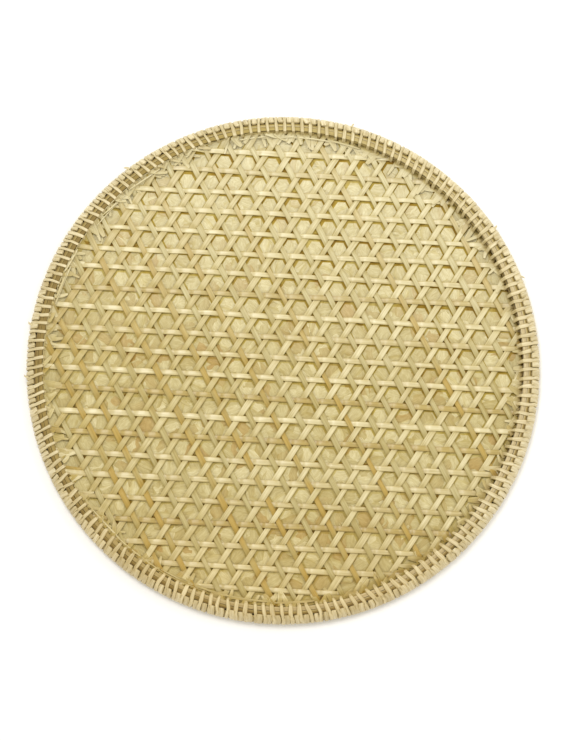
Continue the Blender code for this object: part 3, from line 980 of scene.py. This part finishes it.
def make_wall_slivers(material):
    """Pale slivers on edge against the inner hoop, behind the cane, mostly from the far side round to the
    left: arcs whose height changes evenly from end to end. They start in two stretches, given as for the
    edge's."""
    count, steps = 46, 14
    s = np.linspace(0, 1, steps)
    stretches = ((78, 190, 34), (190, 438, 12))
    places = np.concatenate([RANDOM.uniform(*stretch) for stretch in stretches])
    start = np.radians(places)[:, None]
    radius = MAT_RADIUS - RANDOM.uniform(13.4 * MM, 13.8 * MM, (count, 1)) * np.ones(steps)
    angle = start + RANDOM.uniform(18 * MM, 60 * MM, (count, 1)) * s / radius
    first, last = RANDOM.uniform(4.5 * MM, 9.5 * MM, (2, count))[:, :, None]
    height = first * (1 - s) + last * s
    path = np.stack([radius * np.cos(angle), radius * np.sin(angle), height], axis=-1)
    side = np.stack([np.cos(angle), np.sin(angle)], axis=-1)
    width = RANDOM.uniform(0.4 * MM, 0.6 * MM, (count, 1)) * np.ones(steps)
    tones = RANDOM.beta(1.4, 3.0, count)
    return ribbons("wall_slivers", path, side, width, 2.2 * MM, SLIVER_PROFILE, tones, material)


def make_cane_ends(material):
    """Ends of cane that stick out of the lashing by about a millimetre, at the places where they show."""
    angle = np.radians([20.5, 33.0, 74.0, 128.0, 171.0, 183.0])[:, None]
    count, steps = len(angle), 5
    s = np.linspace(0, 1, steps)
    radius = MAT_RADIUS - 3 * MM + (4.2 * MM + RANDOM.uniform(-0.6 * MM, 0.3 * MM, (count, 1))) * s
    angle = angle + RANDOM.uniform(-2 * MM, 2 * MM, (count, 1)) * s ** 2 / radius
    height = np.broadcast_to(8.2 * MM - 2.6 * MM * s ** 2, radius.shape)
    path = np.stack([radius * np.cos(angle), radius * np.sin(angle), height], axis=-1)
    side = np.stack([-np.sin(angle), np.cos(angle)], axis=-1)
    width = RANDOM.uniform(1.3 * MM, 2.2 * MM, (count, 1)) * (1 - 0.3 * s)
    return ribbons("cane_ends", path, side, width, 0.8 * MM, SLIVER_PROFILE, np.full(count, 0.3), material)


# Surroundings


def make_floor():
    """A wide pale floor, just under the mat."""
    mesh = bpy.data.meshes.new("floor")
    corners = np.array([(-1, -1, 0), (1, -1, 0), (1, 1, 0), (-1, 1, 0)]) * FLOOR_REACH - (0, 0, FLOOR_DROP)
    mesh.from_pydata(corners.tolist(), [], [(0, 1, 2, 3)])
    shader = Shader("pale_floor", 0.9)
    shader.surface.inputs["Base Color"].default_value = FLOOR_COLOR
    mesh.materials.append(shader.material)
    floor = bpy.data.objects.new("floor", mesh)
    bpy.context.scene.collection.objects.link(floor)


def aim(obj, target):
    """Turns a camera or light so that it looks at a point."""
    direction = Vector(target) - obj.location
    obj.rotation_mode = "QUATERNION"
    obj.rotation_quaternion = direction.to_track_quat("-Z", "Y")


def make_light(name, place, size, power):
    """A soft square light that faces the mat."""
    data = bpy.data.lights.new(name, "AREA")
    data.size = size
    data.energy = power
    light = bpy.data.objects.new(name, data)
    light.location = place
    aim(light, (0, 0, 0))
    bpy.context.scene.collection.objects.link(light)


def make_camera():
    """The photograph's view: from above and a little in front, with the mat filling most of the frame's
    width."""
    elevation = math.radians(81.5)
    distance = 1.25
    frame_height = 0.5459
    target = Vector((1.83 * MM, -4.25 * MM, 5 * MM))
    data = bpy.data.cameras.new("camera")
    data.lens = data.sensor_width * distance / frame_height
    camera = bpy.data.objects.new("camera", data)
    camera.location = target + Vector((0, -math.cos(elevation), math.sin(elevation))) * distance
    aim(camera, target)
    bpy.context.scene.collection.objects.link(camera)
    bpy.context.scene.camera = camera


def make_surroundings():
    """Floor, camera, two soft lights beyond the mat's far side, one high at the left and one at the right,
    and an even, slightly warm sky."""
    make_floor()
    make_camera()
    for name, place, size, power in LIGHTS:
        make_light(name, place, size, power)
    world = bpy.data.worlds.new("studio")
    world.use_nodes = True
    sky = world.node_tree.nodes["Background"]
    sky.inputs["Color"].default_value = SKY_COLOR
    sky.inputs["Strength"].default_value = SKY_STRENGTH
    bpy.context.scene.world = world
    bpy.context.scene.view_settings.view_transform = "Standard"


def fit(piece, slot, *nodes):
    """Puts a piece on the mat's one body and hides the solids that it stands for. Its slot is not used."""
    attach(piece, "root")
    if nodes:
        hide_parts(*nodes)


def main():
    """Makes the mat's pieces, hides the solids that they replace, and sets them in their surroundings."""
    materials = make_materials()
    for piece in make_weave(materials):
        fit(piece, "woven_strip", "weave")
    fit(make_strip_ends(materials["strip"]), "woven_strip")
    fit(make_edge_slivers(materials["strip"]), "woven_strip")
    fit(make_wall_slivers(materials["strip"]), "woven_strip")
    fit(make_cane_ends(materials["cane"]), "cane")
    backing, *slips = make_shavings(materials)
    for piece in (backing, *slips):
        fit(piece, "shaving", "shavings")
    outer, middle, inner = make_hoops(materials)
    fit(outer, "split_bamboo", "hoop_outer")
    fit(middle, "flat_bamboo", "hoop_middle")
    fit(inner, "flat_bamboo", "hoop_inner")
    lashing = [make_long_wraps(number, materials["cane"]) for number in range(LASHING_LENGTHS)]
    for number, length in enumerate(lashing):
        fit(length, "cane", f"lashing_{number + 1}")
    fit(make_short_wraps(materials["cane"]), "cane")
    make_surroundings()


main()
